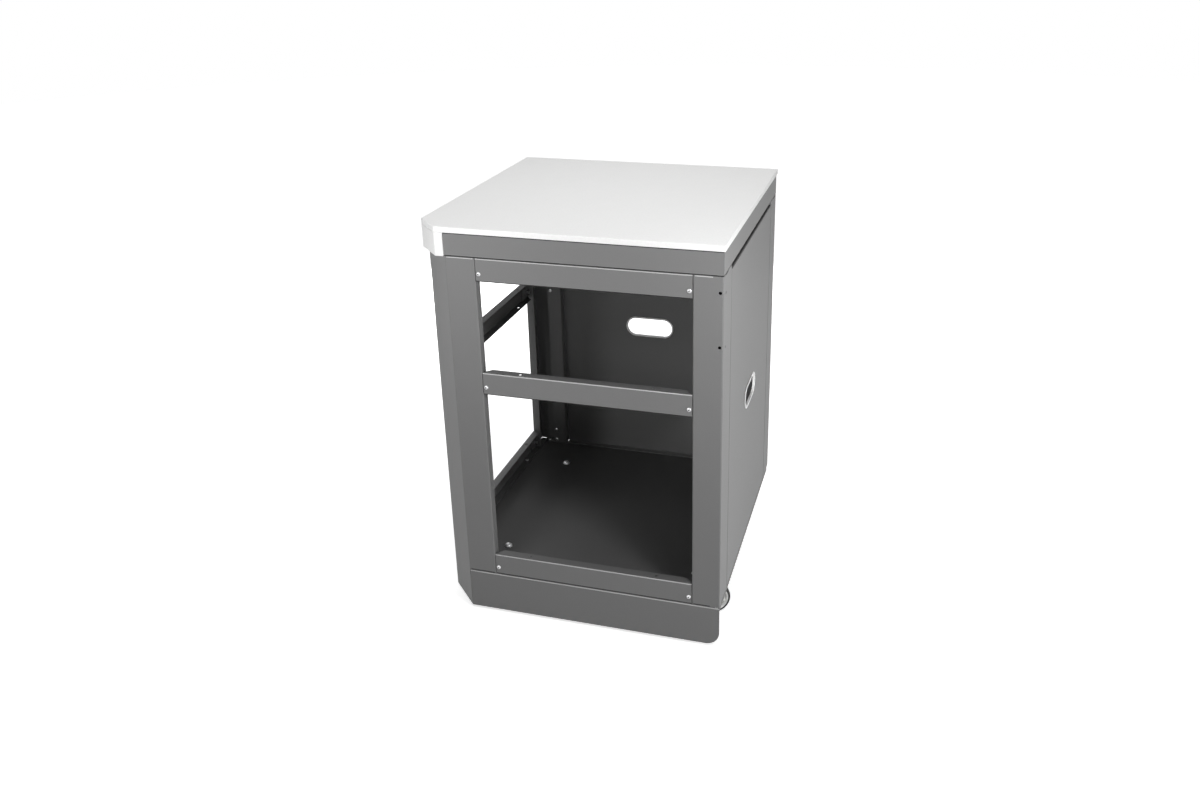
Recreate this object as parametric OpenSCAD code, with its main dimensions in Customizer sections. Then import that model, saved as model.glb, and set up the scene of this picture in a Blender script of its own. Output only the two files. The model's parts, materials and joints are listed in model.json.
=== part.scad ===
// Corner cabinet of an outdoor kitchen: a folded sheet carcass, open on its front and left
// sides and closed on its right and back sides, under a stone worktop and on four castors.
// Millimetres, +Z up, origin on the floor under the centre of the square footprint.

/* [Carcass] */
// Outer width and depth of the square carcass
body_w = 644; // [600:1:760]
// Height of the posts above the base tray
post_h = 743; // [680:1:820]
// Thickness of the folded sheet
sheet = 1.5; // [1.2:0.1:2]
// Inside radius of the folds
bend_r = 1; // [0.6:0.1:1.4]
// Legs of the chamfer on the open front-left corner
chamfer_leg = 70; // [64:1:80]
// Face of the corner post beside its chamfer
corner_face = 64; // [56:1:76]
// Face of the other posts on an open side
open_leg = 60; // [54:1:76]
// Face of the front-right and rear-left posts on a closed side
closed_leg = 80; // [76:1:96]
// Faces of the rear-right post
rear_leg = 74; // [72:1:96]
// Depth of the returns of posts, rails and panels
return_d = 20; // [18:0.5:24]
// Width of the lips that carry the panels
lip_w = 36; // [34:1:40]

/* [Rails] */
// Height of a rail
rail_h = 50; // [46:1:60]
// Height of the middle rail above the base tray
mid_rail_up = 442; // [300:1:560]
// Gap between a rail and a post
rail_gap = 1; // [0.4:0.1:2]
// Corner clip at the ends of the rail flanges
rail_clip = 15; // [8:1:17]
// Distance of a flange hole from the rail's end
flange_hole_in = 80; // [60:1:120]
// Height of a rail screw above the rail's lower edge
rail_screw_up = 17; // [16:0.5:22]
// Distance of a rail screw from the rail's end
rail_screw_in = 6; // [5.5:0.5:10]

/* [Worktop] */
// Thickness of the stone slab and of its corner drop
slab_t = 12; // [10:1:20]
// Overhang of the slab over the carcass
overhang = 3; // [1:0.5:6]
// Legs of the slab's chamfer
slab_chamfer = 52.5; // [46:0.5:60]
// Length of the corner drop's returns beside its chamfer
drop_return = 18; // [12:0.5:24]
// Height of the aprons under the slab
apron_h = 50; // [40:1:70]
// Depth of an apron's upper flange
apron_flange = 25; // [20:1:40]

/* [Panels] */
// Seam between a panel and a post
panel_seam = 0.5; // [0.3:0.1:1.5]
// Open slit between a panel and the apron
panel_slit = 8; // [4:0.5:16]
// Length of the cable slot
slot_l = 122; // [80:1:160]
// Height of the cable slot
slot_h = 48; // [30:1:70]
// Height of the slot's centre above the base tray
slot_up = 364; // [200:1:480]
// Width of the slot trim's lips on the sheet
trim_lip = 3; // [2:0.5:6]
// Thickness of the slot trim's lips
trim_t = 2; // [1:0.2:2.8]
// Thickness of the slot trim's liner
trim_liner = 1; // [0.6:0.1:2]

/* [Base] */
// Height of the kick plates
kick_h = 93.5; // [60:0.5:97]
// Radius of the kick plates' free lower corner
kick_r = 30; // [10:1:50]
// Step between the carcass face and the edge of the base tray
tray_in = 2; // [1.8:0.1:3]
// Depth of the base tray's edge flange on the closed sides
tray_edge = 17; // [10:1:30]

/* [Castors] */
// Height of a castor, which is the height of the base tray's underside
castor_h = 101.5; // [98:0.5:110]
// Diameter of a castor wheel
wheel_d = 75; // [60:1:78]
// Width of a castor wheel
wheel_w = 24; // [18:1:30]
// Distance between the swivel axis and the wheel axis
trail = 42; // [30:1:44]
// Swivel axes from the left face
castor_left_in = 118.5; // [100:0.5:180]
// Swivel axes from the right face
castor_right_in = 77; // [70:0.5:140]
// Swivel axes from the front face
castor_front_in = 110; // [100:0.5:180]
// Swivel axes from the back face
castor_back_in = 128; // [90:0.5:180]

/* [Fasteners] */
// Thread of the rail and panel screws
small_d = 5; // [4:0.5:5.5]
// Thread of the screws through the flanges
large_d = 6; // [5:0.5:7]
// Thread of the castor bolts
bolt_d = 10; // [8:0.5:10.5]
// Diameter of the open holes in the rail flanges
open_hole_d = 7; // [6.8:0.1:8]
// Diameter of the holes that join neighbouring cabinets
link_hole_d = 6.5; // [5:0.1:7]
// Distance between the two link holes of a face
link_pitch = 112; // [80:1:160]

/* [Hidden] */

$fn = 48;
bend_steps = 4;
// One overrun for every cut
over = 2;

half = body_w / 2;
fold_r = bend_r + sheet;
tray_z = castor_h + sheet;
post_top = tray_z + post_h;
slab_z = post_top + apron_h;
slab_half = half + overhang;
corner_end = chamfer_leg + corner_face;
opening = body_w - corner_end - open_leg;
rail_l = opening - 2 * rail_gap;
rail_x = corner_end + rail_gap - half;
rail_bottoms = [tray_z, tray_z + mid_rail_up, post_top - rail_h];

// Turn of a side into its chamfer
chamfer_turn = 45;

// Screws run this deep behind the face in every flange
screw_depth = return_d / 2 + panel_seam;
screw_clear = 0.6;
screw_hole_d = large_d + screw_clear;
thread_gap = 0.05;
liner_gap = 0.2;
hex_per_flat = 1 / cos(30);
head_r_share = 0.95;
head_h_share = 0.55;
socket_flat_share = 0.3;
socket_depth_share = 0.3;
nut_flat_share = 0.8;
nut_h_share = 0.8;
tip = 0.3;
bolt_head_r = 8.75;
bolt_head_h = 6.5;

// Rivet nuts and the post lugs that hold them
rivet_flange_r = 5;
rivet_flange_t = 1;
rivet_body_r = 3.5;
rivet_len = 11;
lug_t = 2;
lug_len = 40;
lug_h = 30;
lug_y = sheet + rivet_flange_t;

// Flanges at the ends of the posts, which take the apron screws and the foot screws
ear_w = 26;
ear_at = 29;
ear_out = return_d + bend_r;
flange_in = fold_r + bend_r;
corner_ear_at = chamfer_leg + corner_face / 2;

// Screw pairs on the lips that carry the panels
pair_gap = 30;
lip_hole_in = 26.5;
panel_edge_in = 2;
panel_top = post_top - panel_slit;
pair_heights = [tray_z + rail_h / 2, tray_z + mid_rail_up + rail_h / 2, panel_top - rail_h / 2];

// Link holes for the neighbouring cabinets
link_face_in = 6.7;
link_face_down = 33;
link_side_in = 22;
link_side_down = 38.5;

// Corner drop and gusset
drop_end = slab_chamfer + drop_return - overhang;
drop_gap = 0.5;
drop_clear = 2;
gusset_leg = drop_end + slab_t - overhang + drop_clear;
gusset_wing = 35;
gusset_gap = 0.3;
mitre_gap = 0.4;
kick_seam = 0.5;
flange_relief = 6;
tray_corner_gap = 0.8;

// Castor parts
wheel_r = wheel_d / 2;
fork_t = 3;
wheel_side_gap = 2;
fork_in = wheel_w / 2 + wheel_side_gap;
axle_r = 4;
axle_head_r = 7;
axle_head_t = 2;
boss_r = 11;
tyre_t = 6;
tyre_round = 4;
hub_r = wheel_r - tyre_t;
hub_boss_r = 9;
hub_rim_t = 3;
hub_web_t = 6;
side_play = 0.3;
cup_r = 26;
cup_t = 2.5;
cup_drop = 9;
cup_lean = 2;
ball_d = 5;
ball_ring_r = 17;
ball_count = 12;
sleeve_r = 8;
sleeve_lip = 3;
sleeve_lip_t = 2;
sleeve_len = 17.5;
crown_r = 23;
crown_neck_r = 11;
run_gap = 0.3;
crown_top = castor_h - cup_t - ball_d - run_gap;
crown_neck_z = castor_h - cup_t - sleeve_len + sleeve_lip_t + run_gap;
leg_top_share = 0.66;

castor_fl = [castor_left_in - half, castor_front_in - half];
castor_fr = [half - castor_right_in, castor_front_in - half];
castor_rl = [castor_left_in - half, half - castor_back_in];
castor_rr = [half - castor_right_in, half - castor_back_in];
castors = [castor_fl, castor_fr, castor_rl, castor_rr];
// Directions in which the castors trail
turn_fl = 154;
turn_fr = 26;
turn_rl = 118;
turn_rr = 206;

coat = "#6a6a6a";
coat_kick = "#5c5c5c";
stone = "#f2f2f0";
zinc = "#c9ccd0";
rubber = "#1c1c1d";
nylon = "#dcdcd8";
edging = "#ededed";

// A unit vector, the direction to its left, and a vector turned by an angle
function unit(v) = v / norm(v);
function left_of(v) = [-v[1], v[0]];
function turned(v, a) = [v[0] * cos(a) - v[1] * sin(a), v[0] * sin(a) + v[1] * cos(a)];

// One fold of a sheet: side 0 is the skin and side 1 the face to the left of the path
function fold_points(p0, p1, p2, side) =
    let (d0 = unit(p1 - p0), d1 = unit(p2 - p1),
         s = sign(d0[0] * d1[1] - d0[1] * d1[0]),
         swing = acos(d0 * d1),
         skin_r = s > 0 ? bend_r + sheet : bend_r,
         centre = p1 - d0 * skin_r * tan(swing / 2) + left_of(d0) * s * skin_r,
         r = skin_r - side * s * sheet)
    [for (k = [0:bend_steps]) centre - turned(left_of(d0), s * swing * k / bend_steps) * s * r];

function fold_side(path, side) =
    let (last = len(path) - 1,
         first_off = left_of(unit(path[1] - path[0])) * side * sheet,
         last_off = left_of(unit(path[last] - path[last - 1])) * side * sheet)
    [path[0] + first_off,
     for (i = [1:last - 1]) each fold_points(path[i - 1], path[i], path[i + 1], side),
     path[last] + last_off];

// Closed outline of a folded sheet that lies on the left of its skin line
function fold_outline(path) =
    let (inner = fold_side(path, 1))
    concat(fold_side(path, 0), [for (i = [len(inner) - 1:-1:0]) inner[i]]);

module folded(path) { polygon(fold_outline(path)); }

// Sections drawn as depth and height, run along X
module along_x(length) { rotate([90, 0, 90]) linear_extrude(length) children(); }

// The front and left sides mirror each other across the diagonal, as the right and back do
module across_diagonal() { mirror([1, -1, 0]) children(); }

// The children as they are, or mirrored across the diagonal
module diagonal(d) {
    if (d == 0) children();
    else across_diagonal() children();
}

module at_front() { translate([0, -half, 0]) children(); }
module at_right() { rotate([0, 0, 90]) at_front() children(); }

// Corner frames: x runs along the open or first side and y along the other, from the outer corner
module corner_fl() { translate([-half, -half, 0]) children(); }
module corner_fr() { translate([half, -half, 0]) mirror([1, 0, 0]) children(); }
module corner_rr() { translate([half, half, 0]) rotate([0, 0, 180]) children(); }

module bore(d, at_z, length) { translate([0, 0, at_z]) cylinder(d = d, h = length); }
module bore_y(d, length) { rotate([-90, 0, 0]) cylinder(d = d, h = length); }
module bore_x(d, length) { rotate([0, 90, 0]) cylinder(d = d, h = length); }

// Domed head and shank in half section: the seat is at height 0 and the shank hangs below
function screw_section(d, length, head_r, head_h) = [
    for (k = [0:bend_steps]) [head_r * cos(90 * k / bend_steps), head_h * sin(90 * k / bend_steps)],
    [0, -length], [d / 2 - thread_gap - tip, -length], [d / 2 - thread_gap, tip - length],
    [d / 2 - thread_gap, 0]];

// Button-head screw with a hexagon socket
module button_screw(d, length) {
    head_h = head_h_share * d;
    depth = socket_depth_share * d;
    difference() {
        rotate_extrude() polygon(screw_section(d, length, head_r_share * d, head_h));
        translate([0, 0, head_h - depth])
            cylinder(r = socket_flat_share * d * hex_per_flat, h = depth + over, $fn = 6);
    }
}

// Hexagon nut that hangs below height 0
module hex_nut(d) {
    translate([0, 0, -nut_h_share * d]) difference() {
        cylinder(r = nut_flat_share * d * hex_per_flat, h = nut_h_share * d, $fn = 6);
        bore(d, -over, nut_h_share * d + 2 * over);
    }
}

// Worktop

module chamfered_square(h, leg, t) {
    linear_extrude(t) polygon([[leg - h, -h], [h, -h], [h, h], [-h, h], [-h, leg - h]]);
}

module worktop_slab() {
    color(stone) translate([0, 0, slab_z]) chamfered_square(slab_half, slab_chamfer, slab_t);
}

module corner_drop() {
    mitre = slab_t * tan(chamfer_turn / 2);
    reach = slab_chamfer + drop_return;
    inner = slab_chamfer + mitre;
    color(stone) translate([-slab_half, -slab_half, post_top]) linear_extrude(apron_h) polygon([
        [reach, 0], [slab_chamfer, 0], [0, slab_chamfer], [0, reach],
        [slab_t, reach], [slab_t, inner], [inner, slab_t], [reach, slab_t]]);
}

// Top frame

// Everything beyond the mitre of a corner that lies at x = 0
module mitre_cut() {
    cut = mitre_gap / sqrt(2);
    reach = apron_flange + over;
    translate([0, 0, post_top - over]) linear_extrude(apron_h + 2 * over) polygon([
        [over - cut, -over], [over, -over], [over, reach], [-cut - reach, reach]]);
}

module apron(x0, x1) {
    translate([x0, 0, post_top]) along_x(x1 - x0)
        folded([[apron_flange, apron_h], [0, apron_h], [0, 0], [return_d, 0]]);
}

module screw_drop(x, y) {
    translate([x, y, post_top]) bore(screw_hole_d, -over, 2 * over + sheet);
}

module front_apron() {
    at_front() difference() {
        apron(drop_end + drop_gap - half, half);
        translate([half, 0, 0]) mitre_cut();
        for (x = large_holes_x()) screw_drop(x, screw_depth);
    }
}

module closed_apron() {
    at_front() difference() {
        apron(-half, half);
        translate([half, 0, 0]) mitre_cut();
        mirror([1, 0, 0]) translate([half, 0, 0]) mitre_cut();
        for (s = [-1, 1]) screw_drop(s * (half - ear_at), screw_depth);
    }
}

module apron_front() { color(coat) front_apron(); }
module apron_left() { color(coat) across_diagonal() front_apron(); }
module apron_right() { color(coat) rotate([0, 0, 90]) closed_apron(); }
module apron_back() { color(coat) across_diagonal() rotate([0, 0, 90]) closed_apron(); }

module apron_gusset() {
    inner_z = fold_r + gusset_gap;
    color(coat) corner_fl() translate([0, 0, post_top + inner_z]) linear_extrude(apron_h - 2 * inner_z)
        folded([[sheet, gusset_leg + gusset_wing], [sheet, gusset_leg], [gusset_leg, sheet],
            [gusset_leg + gusset_wing, sheet]]);
}

// Posts

// Holed lug behind a rail's web, from the edge of an open side
module lug(edge_x, z) {
    hole_x = edge_x + rail_gap + rail_screw_in;
    hole_z = z + rail_screw_up;
    difference() {
        translate([edge_x - sheet, lug_y, hole_z - lug_h / 2]) cube([lug_len, lug_t, lug_h]);
        translate([hole_x, 0, hole_z]) bore_y(2 * rivet_body_r + 2 * thread_gap, lug_y + lug_t + over);
    }
}

module lugs(edge_x) { for (z = rail_bottoms) lug(edge_x, z); }

// Both ends of a post, with its inside above height 0
module at_ends() {
    translate([0, 0, tray_z]) children();
    translate([0, 0, post_top]) mirror([0, 0, 1]) children();
}

// Square edge of a leg that the folds of its end flanges replace, from x0 to x1
module flange_cuts(x0, x1) {
    at_ends() translate([x0, -over, -over]) cube([x1 - x0, over + fold_r, over + fold_r]);
}

// Flanges folded inwards from both ends of a leg
module end_flanges(x0, x1) {
    at_ends() translate([x0, 0, 0]) along_x(x1 - x0) folded([[0, 2 * fold_r], [0, 0], [return_d, 0]]);
}

module flange_bores(x) {
    at_ends() translate([x, screw_depth, 0]) bore(screw_hole_d, -over, sheet + 2 * over);
}

// Holes of the screw pairs in a lip that stands return_d behind the face y = 0
module lip_holes(edge_x) {
    for (z = pair_heights, s = [-1, 1])
        translate([edge_x - lip_hole_in, return_d - sheet - over, z + s * pair_gap / 2])
            bore_y(small_d + screw_clear, sheet + 2 * over);
}

module post_body(path) {
    translate([0, 0, tray_z]) linear_extrude(post_h) folded(path);
}

module corner_post() {
    start = fold_r * tan(chamfer_turn / 2) / sqrt(2);
    skin = sheet / sqrt(2);
    x0 = chamfer_leg + fold_r;
    x1 = corner_end - flange_in;
    color(coat) corner_fl() {
        difference() {
            union() {
                difference() {
                    post_body([[return_d, corner_end], [0, corner_end], [0, chamfer_leg],
                        [chamfer_leg, 0], [corner_end, 0], [corner_end, return_d]]);
                    for (d = [0, 1]) diagonal(d) flange_cuts(x0, x1);
                }
                for (d = [0, 1]) diagonal(d) end_flanges(x0, x1);
            }
            for (d = [0, 1]) diagonal(d) flange_bores(corner_ear_at);
        }
        translate([0, 0, castor_h - kick_h]) linear_extrude(tray_z - castor_h + kick_h + over) polygon([
            [start, chamfer_leg - start], [chamfer_leg - start, start],
            [chamfer_leg - start + skin, start + skin], [start + skin, chamfer_leg - start + skin]]);
        for (d = [0, 1]) diagonal(d) lugs(corner_end);
    }
}

// Post between an open side, along x, and a closed side, along y
module side_post() {
    difference() {
        union() {
            difference() {
                post_body([[return_d, closed_leg - lip_w], [return_d, closed_leg], [0, closed_leg], [0, 0],
                    [open_leg, 0], [open_leg, return_d]]);
                flange_cuts(ear_out, open_leg - flange_in);
                across_diagonal() flange_cuts(ear_at - ear_w / 2, ear_at + ear_w / 2);
            }
            end_flanges(ear_out, open_leg - flange_in);
            across_diagonal() end_flanges(ear_at - ear_w / 2, ear_at + ear_w / 2);
            lugs(open_leg);
        }
        across_diagonal() flange_bores(ear_at);
        across_diagonal() lip_holes(closed_leg);
        for (k = [0, 1]) {
            translate([link_face_in, -over, post_top - link_face_down - k * link_pitch])
                bore_y(link_hole_d, sheet + 2 * over);
            translate([-over, link_side_in, post_top - link_side_down - k * link_pitch])
                bore_x(link_hole_d, sheet + 2 * over);
        }
    }
}

module post_front_right() { color(coat) corner_fr() side_post(); }
module post_rear_left() { color(coat) across_diagonal() corner_fr() side_post(); }

module post_rear_right() {
    x0 = ear_at - ear_w / 2;
    x1 = ear_at + ear_w / 2;
    color(coat) corner_rr() difference() {
        union() {
            difference() {
                post_body([[return_d, rear_leg - lip_w], [return_d, rear_leg], [0, rear_leg], [0, 0],
                    [rear_leg, 0], [rear_leg, return_d], [rear_leg - lip_w, return_d]]);
                for (d = [0, 1]) diagonal(d) flange_cuts(x0, x1);
            }
            for (d = [0, 1]) diagonal(d) end_flanges(x0, x1);
        }
        for (d = [0, 1]) diagonal(d) {
            flange_bores(ear_at);
            lip_holes(rear_leg);
        }
    }
}

// Rails

function flange_holes_x() = [rail_x + flange_hole_in, rail_x + rail_l - flange_hole_in];
function large_holes_x() = concat(flange_holes_x(), [corner_ear_at - half]);
function rail_screws_x() = [rail_x + rail_screw_in, rail_x + rail_l - rail_screw_in];

// Corner clip of a flange as a triangular prism, for the end at x = 0
module clip_prism() {
    translate([0, 0, -over]) linear_extrude(rail_h + 2 * over) polygon([
        [-over, return_d - rail_clip], [0, return_d - rail_clip], [rail_clip, return_d],
        [rail_clip, return_d + over], [-over, return_d + over]]);
}

// Rail whose lower and upper flange have holes of the given diameters
module rail(z, low_hole_d, high_hole_d) {
    at_front() translate([0, 0, z]) difference() {
        translate([rail_x, 0, 0]) along_x(rail_l)
            folded([[return_d, rail_h], [0, rail_h], [0, 0], [return_d, 0]]);
        translate([rail_x, 0, 0]) clip_prism();
        translate([rail_x + rail_l, 0, 0]) mirror([1, 0, 0]) clip_prism();
        for (x = rail_screws_x()) translate([x, -over, rail_screw_up])
            bore_y(small_d + screw_clear, sheet + 2 * over);
        for (x = flange_holes_x()) translate([x, screw_depth, 0]) {
            bore(low_hole_d, -over, sheet + 2 * over);
            bore(high_hole_d, rail_h - sheet - over, sheet + 2 * over);
        }
    }
}

module rail_top() { color(coat) rail(rail_bottoms[2], open_hole_d, screw_hole_d); }
module rail_mid() { color(coat) rail(rail_bottoms[1], open_hole_d, open_hole_d); }
module rail_bottom() { color(coat) rail(rail_bottoms[0], screw_hole_d, open_hole_d); }

module front_rail_top() { rail_top(); }
module front_rail_mid() { rail_mid(); }
module front_rail_bottom() { rail_bottom(); }
module left_rail_top() { across_diagonal() rail_top(); }
module left_rail_mid() { across_diagonal() rail_mid(); }
module left_rail_bottom() { across_diagonal() rail_bottom(); }

// Panels

// Places of the screw pairs of one panel, as x along the panel's side and height
function pair_places() = [
    for (z = pair_heights, s = [-1, 1])
        each [for (x = [closed_leg - lip_hole_in - half, half - rear_leg + lip_hole_in])
            [x, z + s * pair_gap / 2]]];

// Stadium-shaped prism along y, centred at the origin in x and z
module stadium(l, h, depth) {
    for (s = [-1, 1]) translate([s * (l - h) / 2, 0, 0]) bore_y(h, depth);
    translate([(h - l) / 2, 0, -h / 2]) cube([l - h, depth, h]);
}

module panel() {
    x0 = closed_leg + panel_seam - half;
    x1 = half - rear_leg - panel_seam;
    flange = lip_w - panel_edge_in;
    tall = panel_top - tray_z;
    at_front() difference() {
        union() {
            translate([0, 0, tray_z + fold_r]) linear_extrude(tall - 2 * fold_r)
                folded([[x0 - flange, return_d], [x0, return_d], [x0, 0], [x1, 0], [x1, return_d],
                    [x1 + flange, return_d]]);
            translate([x0 + fold_r, 0, tray_z]) along_x(x1 - x0 - 2 * fold_r)
                folded([[return_d - sheet, tall], [0, tall], [0, 0], [return_d - sheet, 0]]);
        }
        for (p = pair_places()) translate([p[0], return_d - over, p[1]])
            bore_y(small_d + screw_clear, sheet + 2 * over);
        translate([0, -over, tray_z + slot_up]) stadium(slot_l, slot_h, sheet + 2 * over);
    }
}

// U-section edging that grips the sheet round a slot
module slot_trim() {
    lip_l = slot_l + 2 * trim_lip;
    lip_h = slot_h + 2 * trim_lip;
    open_l = slot_l - liner_gap - 2 * trim_liner;
    open_h = slot_h - liner_gap - 2 * trim_liner;
    at_front() translate([0, 0, tray_z + slot_up]) difference() {
        union() {
            for (y = [-trim_t, sheet]) translate([0, y, 0]) stadium(lip_l, lip_h, trim_t);
            translate([0, -trim_t, 0]) stadium(slot_l - liner_gap, slot_h - liner_gap, sheet + 2 * trim_t);
        }
        translate([0, -trim_t - over, 0]) stadium(open_l, open_h, sheet + 2 * trim_t + 2 * over);
    }
}

module side_panel() { color(coat) rotate([0, 0, 90]) panel(); }
module back_panel() { color(coat) across_diagonal() rotate([0, 0, 90]) panel(); }
module side_slot_trim() { color(edging) rotate([0, 0, 90]) slot_trim(); }
module back_slot_trim() { color(edging) across_diagonal() rotate([0, 0, 90]) slot_trim(); }

// Base

module tray_flange() {
    length = body_w - 2 * tray_in - fold_r;
    at_front() translate([tray_in - half, tray_in, tray_z - tray_edge]) along_x(length)
        folded([[return_d, tray_edge], [0, tray_edge], [0, 0]]);
}

module base_tray() {
    edge = half - tray_in;
    inner = edge - fold_r;
    leg = chamfer_leg + sheet * sqrt(2) + tray_corner_gap - 2 * tray_in;
    color(coat_kick) difference() {
        union() {
            translate([0, 0, castor_h]) linear_extrude(sheet) polygon([
                [leg - edge, -edge], [inner, -edge], [inner, inner],
                [-edge, inner], [-edge, leg - edge]]);
            rotate([0, 0, 90]) tray_flange();
            across_diagonal() rotate([0, 0, 90]) tray_flange();
        }
        for (p = castors) translate([p[0], p[1], castor_h])
            bore(bolt_d + screw_clear, -over, sheet + 2 * over);
        for (d = [0, 1]) diagonal(d) {
            at_front() for (x = large_holes_x())
                translate([x, screw_depth, castor_h]) bore(screw_hole_d, -over, sheet + 2 * over);
            at_right() for (s = [-1, 1])
                translate([s * (half - ear_at), screw_depth, castor_h])
                    bore(screw_hole_d, -over, sheet + 2 * over);
        }
    }
}

module kick_plate() {
    x0 = chamfer_leg + kick_seam - half;
    z0 = castor_h - kick_h;
    relief = half - tray_in - fold_r - flange_relief;
    at_front() difference() {
        translate([x0, 0, z0]) along_x(half - x0) folded([[return_d, kick_h], [0, kick_h], [0, 0]]);
        for (x = large_holes_x()) translate([x, screw_depth, castor_h])
            bore(screw_hole_d, -sheet - over, sheet + 2 * over);
        translate([relief, sheet, castor_h - fold_r - over])
            cube([half - relief + over, return_d + over, fold_r + 2 * over]);
        translate([half - kick_r, -over, z0 + kick_r]) difference() {
            translate([0, 0, -kick_r - over]) cube([kick_r + over, sheet + 2 * over, kick_r + over]);
            translate([0, -over, 0]) bore_y(2 * kick_r, sheet + 4 * over);
        }
    }
}

module kick_plate_front() { color(coat_kick) kick_plate(); }
module kick_plate_left() { color(coat_kick) across_diagonal() kick_plate(); }

// Fasteners

module rail_screws() {
    length = rivet_len + sheet;
    for (z = rail_bottoms, x = rail_screws_x())
        at_front() translate([x, 0, z + rail_screw_up]) rotate([90, 0, 0]) button_screw(small_d, length);
}

module rivet_nuts_of_side() {
    for (z = rail_bottoms, x = rail_screws_x())
        at_front() translate([x, sheet, z + rail_screw_up]) difference() {
            union() {
                bore_y(2 * rivet_flange_r, rivet_flange_t);
                bore_y(2 * rivet_body_r, rivet_len);
            }
            translate([0, -over, 0]) bore_y(small_d, rivet_len + 2 * over);
        }
}

module rail_screws_front() { color(zinc) rail_screws(); }
module rail_screws_left() { color(zinc) across_diagonal() rail_screws(); }

module rivet_nuts() {
    color(zinc) for (d = [0, 1]) diagonal(d) rivet_nuts_of_side();
}

module panel_screws() {
    color(zinc) for (d = [0, 1], p = pair_places()) diagonal(d) at_right()
        translate([p[0], return_d + sheet, p[1]]) rotate([-90, 0, 0])
            button_screw(small_d, 2 * sheet + nut_h_share * small_d + tip);
}

module panel_nuts() {
    color(zinc) for (d = [0, 1], p = pair_places()) diagonal(d) at_right()
        translate([p[0], return_d - sheet, p[1]]) rotate([-90, 0, 0]) hex_nut(small_d);
}

module kick_screws() {
    color(zinc) for (d = [0, 1], x = large_holes_x()) diagonal(d) at_front()
        translate([x, screw_depth, tray_z + sheet])
            button_screw(large_d, 3 * sheet + nut_h_share * large_d + tip);
}

module kick_nuts() {
    color(zinc) for (d = [0, 1], x = large_holes_x()) diagonal(d) at_front()
        translate([x, screw_depth, castor_h - sheet]) hex_nut(large_d);
}

// Aprons are screwed to the rails and to the posts' ears from below
module under_apron() {
    for (d = [0, 1]) diagonal(d) {
        at_front() for (x = large_holes_x()) translate([x, screw_depth, post_top])
            rotate([180, 0, 0]) children();
        at_right() for (s = [-1, 1]) translate([s * (half - ear_at), screw_depth, post_top])
            rotate([180, 0, 0]) children();
    }
}

module apron_screws() {
    color(zinc) under_apron() translate([0, 0, sheet])
        button_screw(large_d, 2 * sheet + nut_h_share * large_d + tip);
}

module apron_nuts() {
    color(zinc) under_apron() translate([0, 0, -sheet]) hex_nut(large_d);
}

// Feet of the posts on the closed sides
module at_feet() {
    for (d = [0, 1], s = [-1, 1]) diagonal(d) at_right()
        translate([s * (half - ear_at), screw_depth, 0]) children();
}

module foot_screws() {
    color(zinc) at_feet() translate([0, 0, tray_z + sheet])
        button_screw(large_d, 2 * sheet + nut_h_share * large_d + tip);
}

module foot_nuts() {
    color(zinc) at_feet() translate([0, 0, castor_h]) hex_nut(large_d);
}

// Castors

module at_castors() {
    for (p = castors) translate([p[0], p[1], 0]) children();
}

module at_castor(place, turn) {
    translate([place[0], place[1], 0]) rotate([0, 0, turn]) children();
}

// Fixed upper half of the swivel: a dished cup and the sleeve that the fork turns on
module castor_heads() {
    top = castor_h;
    hole_r = bolt_d / 2 + thread_gap;
    low = top - cup_t - sleeve_len;
    lean_r = cup_r - cup_lean;
    color(zinc) at_castors() rotate_extrude() polygon([
        [hole_r, top], [lean_r, top], [cup_r, top - cup_drop], [cup_r - cup_lean, top - cup_drop],
        [lean_r - cup_lean, top - cup_t], [sleeve_r, top - cup_t], [sleeve_r, low + sleeve_lip_t],
        [sleeve_r + sleeve_lip, low + sleeve_lip_t], [sleeve_r + sleeve_lip, low], [hole_r, low]]);
}

module castor_bolts() {
    color(zinc) at_castors() translate([0, 0, tray_z]) rotate_extrude() polygon(screw_section(bolt_d,
        sheet + cup_t + sleeve_len + nut_h_share * bolt_d + tip, bolt_head_r, bolt_head_h));
}

module castor_nuts() {
    color(zinc) at_castors() translate([0, 0, castor_h - cup_t - sleeve_len]) hex_nut(bolt_d);
}

module swivel_balls() {
    color(zinc) at_castors() for (k = [0:ball_count - 1]) rotate([0, 0, 360 * k / ball_count])
        translate([ball_ring_r, 0, castor_h - cup_t - ball_d / 2]) sphere(d = ball_d);
}

// Point where the tangent from p touches a circle, on the side that s picks
function tangent_point(p, c, r, s) = c + r * turned(unit(p - c), s * acos(r / norm(p - c)));

module fork_leg() {
    top_x = crown_r * leg_top_share;
    top_z = crown_top - fork_t / 2;
    axle_at = [trail, wheel_r];
    front = [-top_x, top_z];
    rear = [top_x, top_z];
    rotate([90, 0, 0]) linear_extrude(fork_t) union() {
        polygon([front, tangent_point(front, axle_at, boss_r, 1), axle_at,
            tangent_point(rear, axle_at, boss_r, -1), rear]);
        translate(axle_at) circle(boss_r);
    }
}

module fork() {
    low = crown_top - fork_t;
    hole_r = sleeve_r + thread_gap;
    color(zinc) difference() {
        union() {
            rotate_extrude() polygon([
                [hole_r, crown_neck_z], [crown_neck_r, crown_neck_z], [crown_neck_r + fork_t, low],
                [crown_r, low], [crown_r, crown_top], [crown_neck_r + fork_t / 2, crown_top],
                [crown_neck_r, crown_neck_z + fork_t], [hole_r, crown_neck_z + fork_t]]);
            translate([0, fork_in + fork_t, 0]) fork_leg();
            translate([0, -fork_in, 0]) fork_leg();
        }
        translate([trail, -fork_in - fork_t - over, wheel_r])
            bore_y(2 * axle_r + 2 * thread_gap, 2 * (fork_in + fork_t + over));
    }
}

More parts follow.
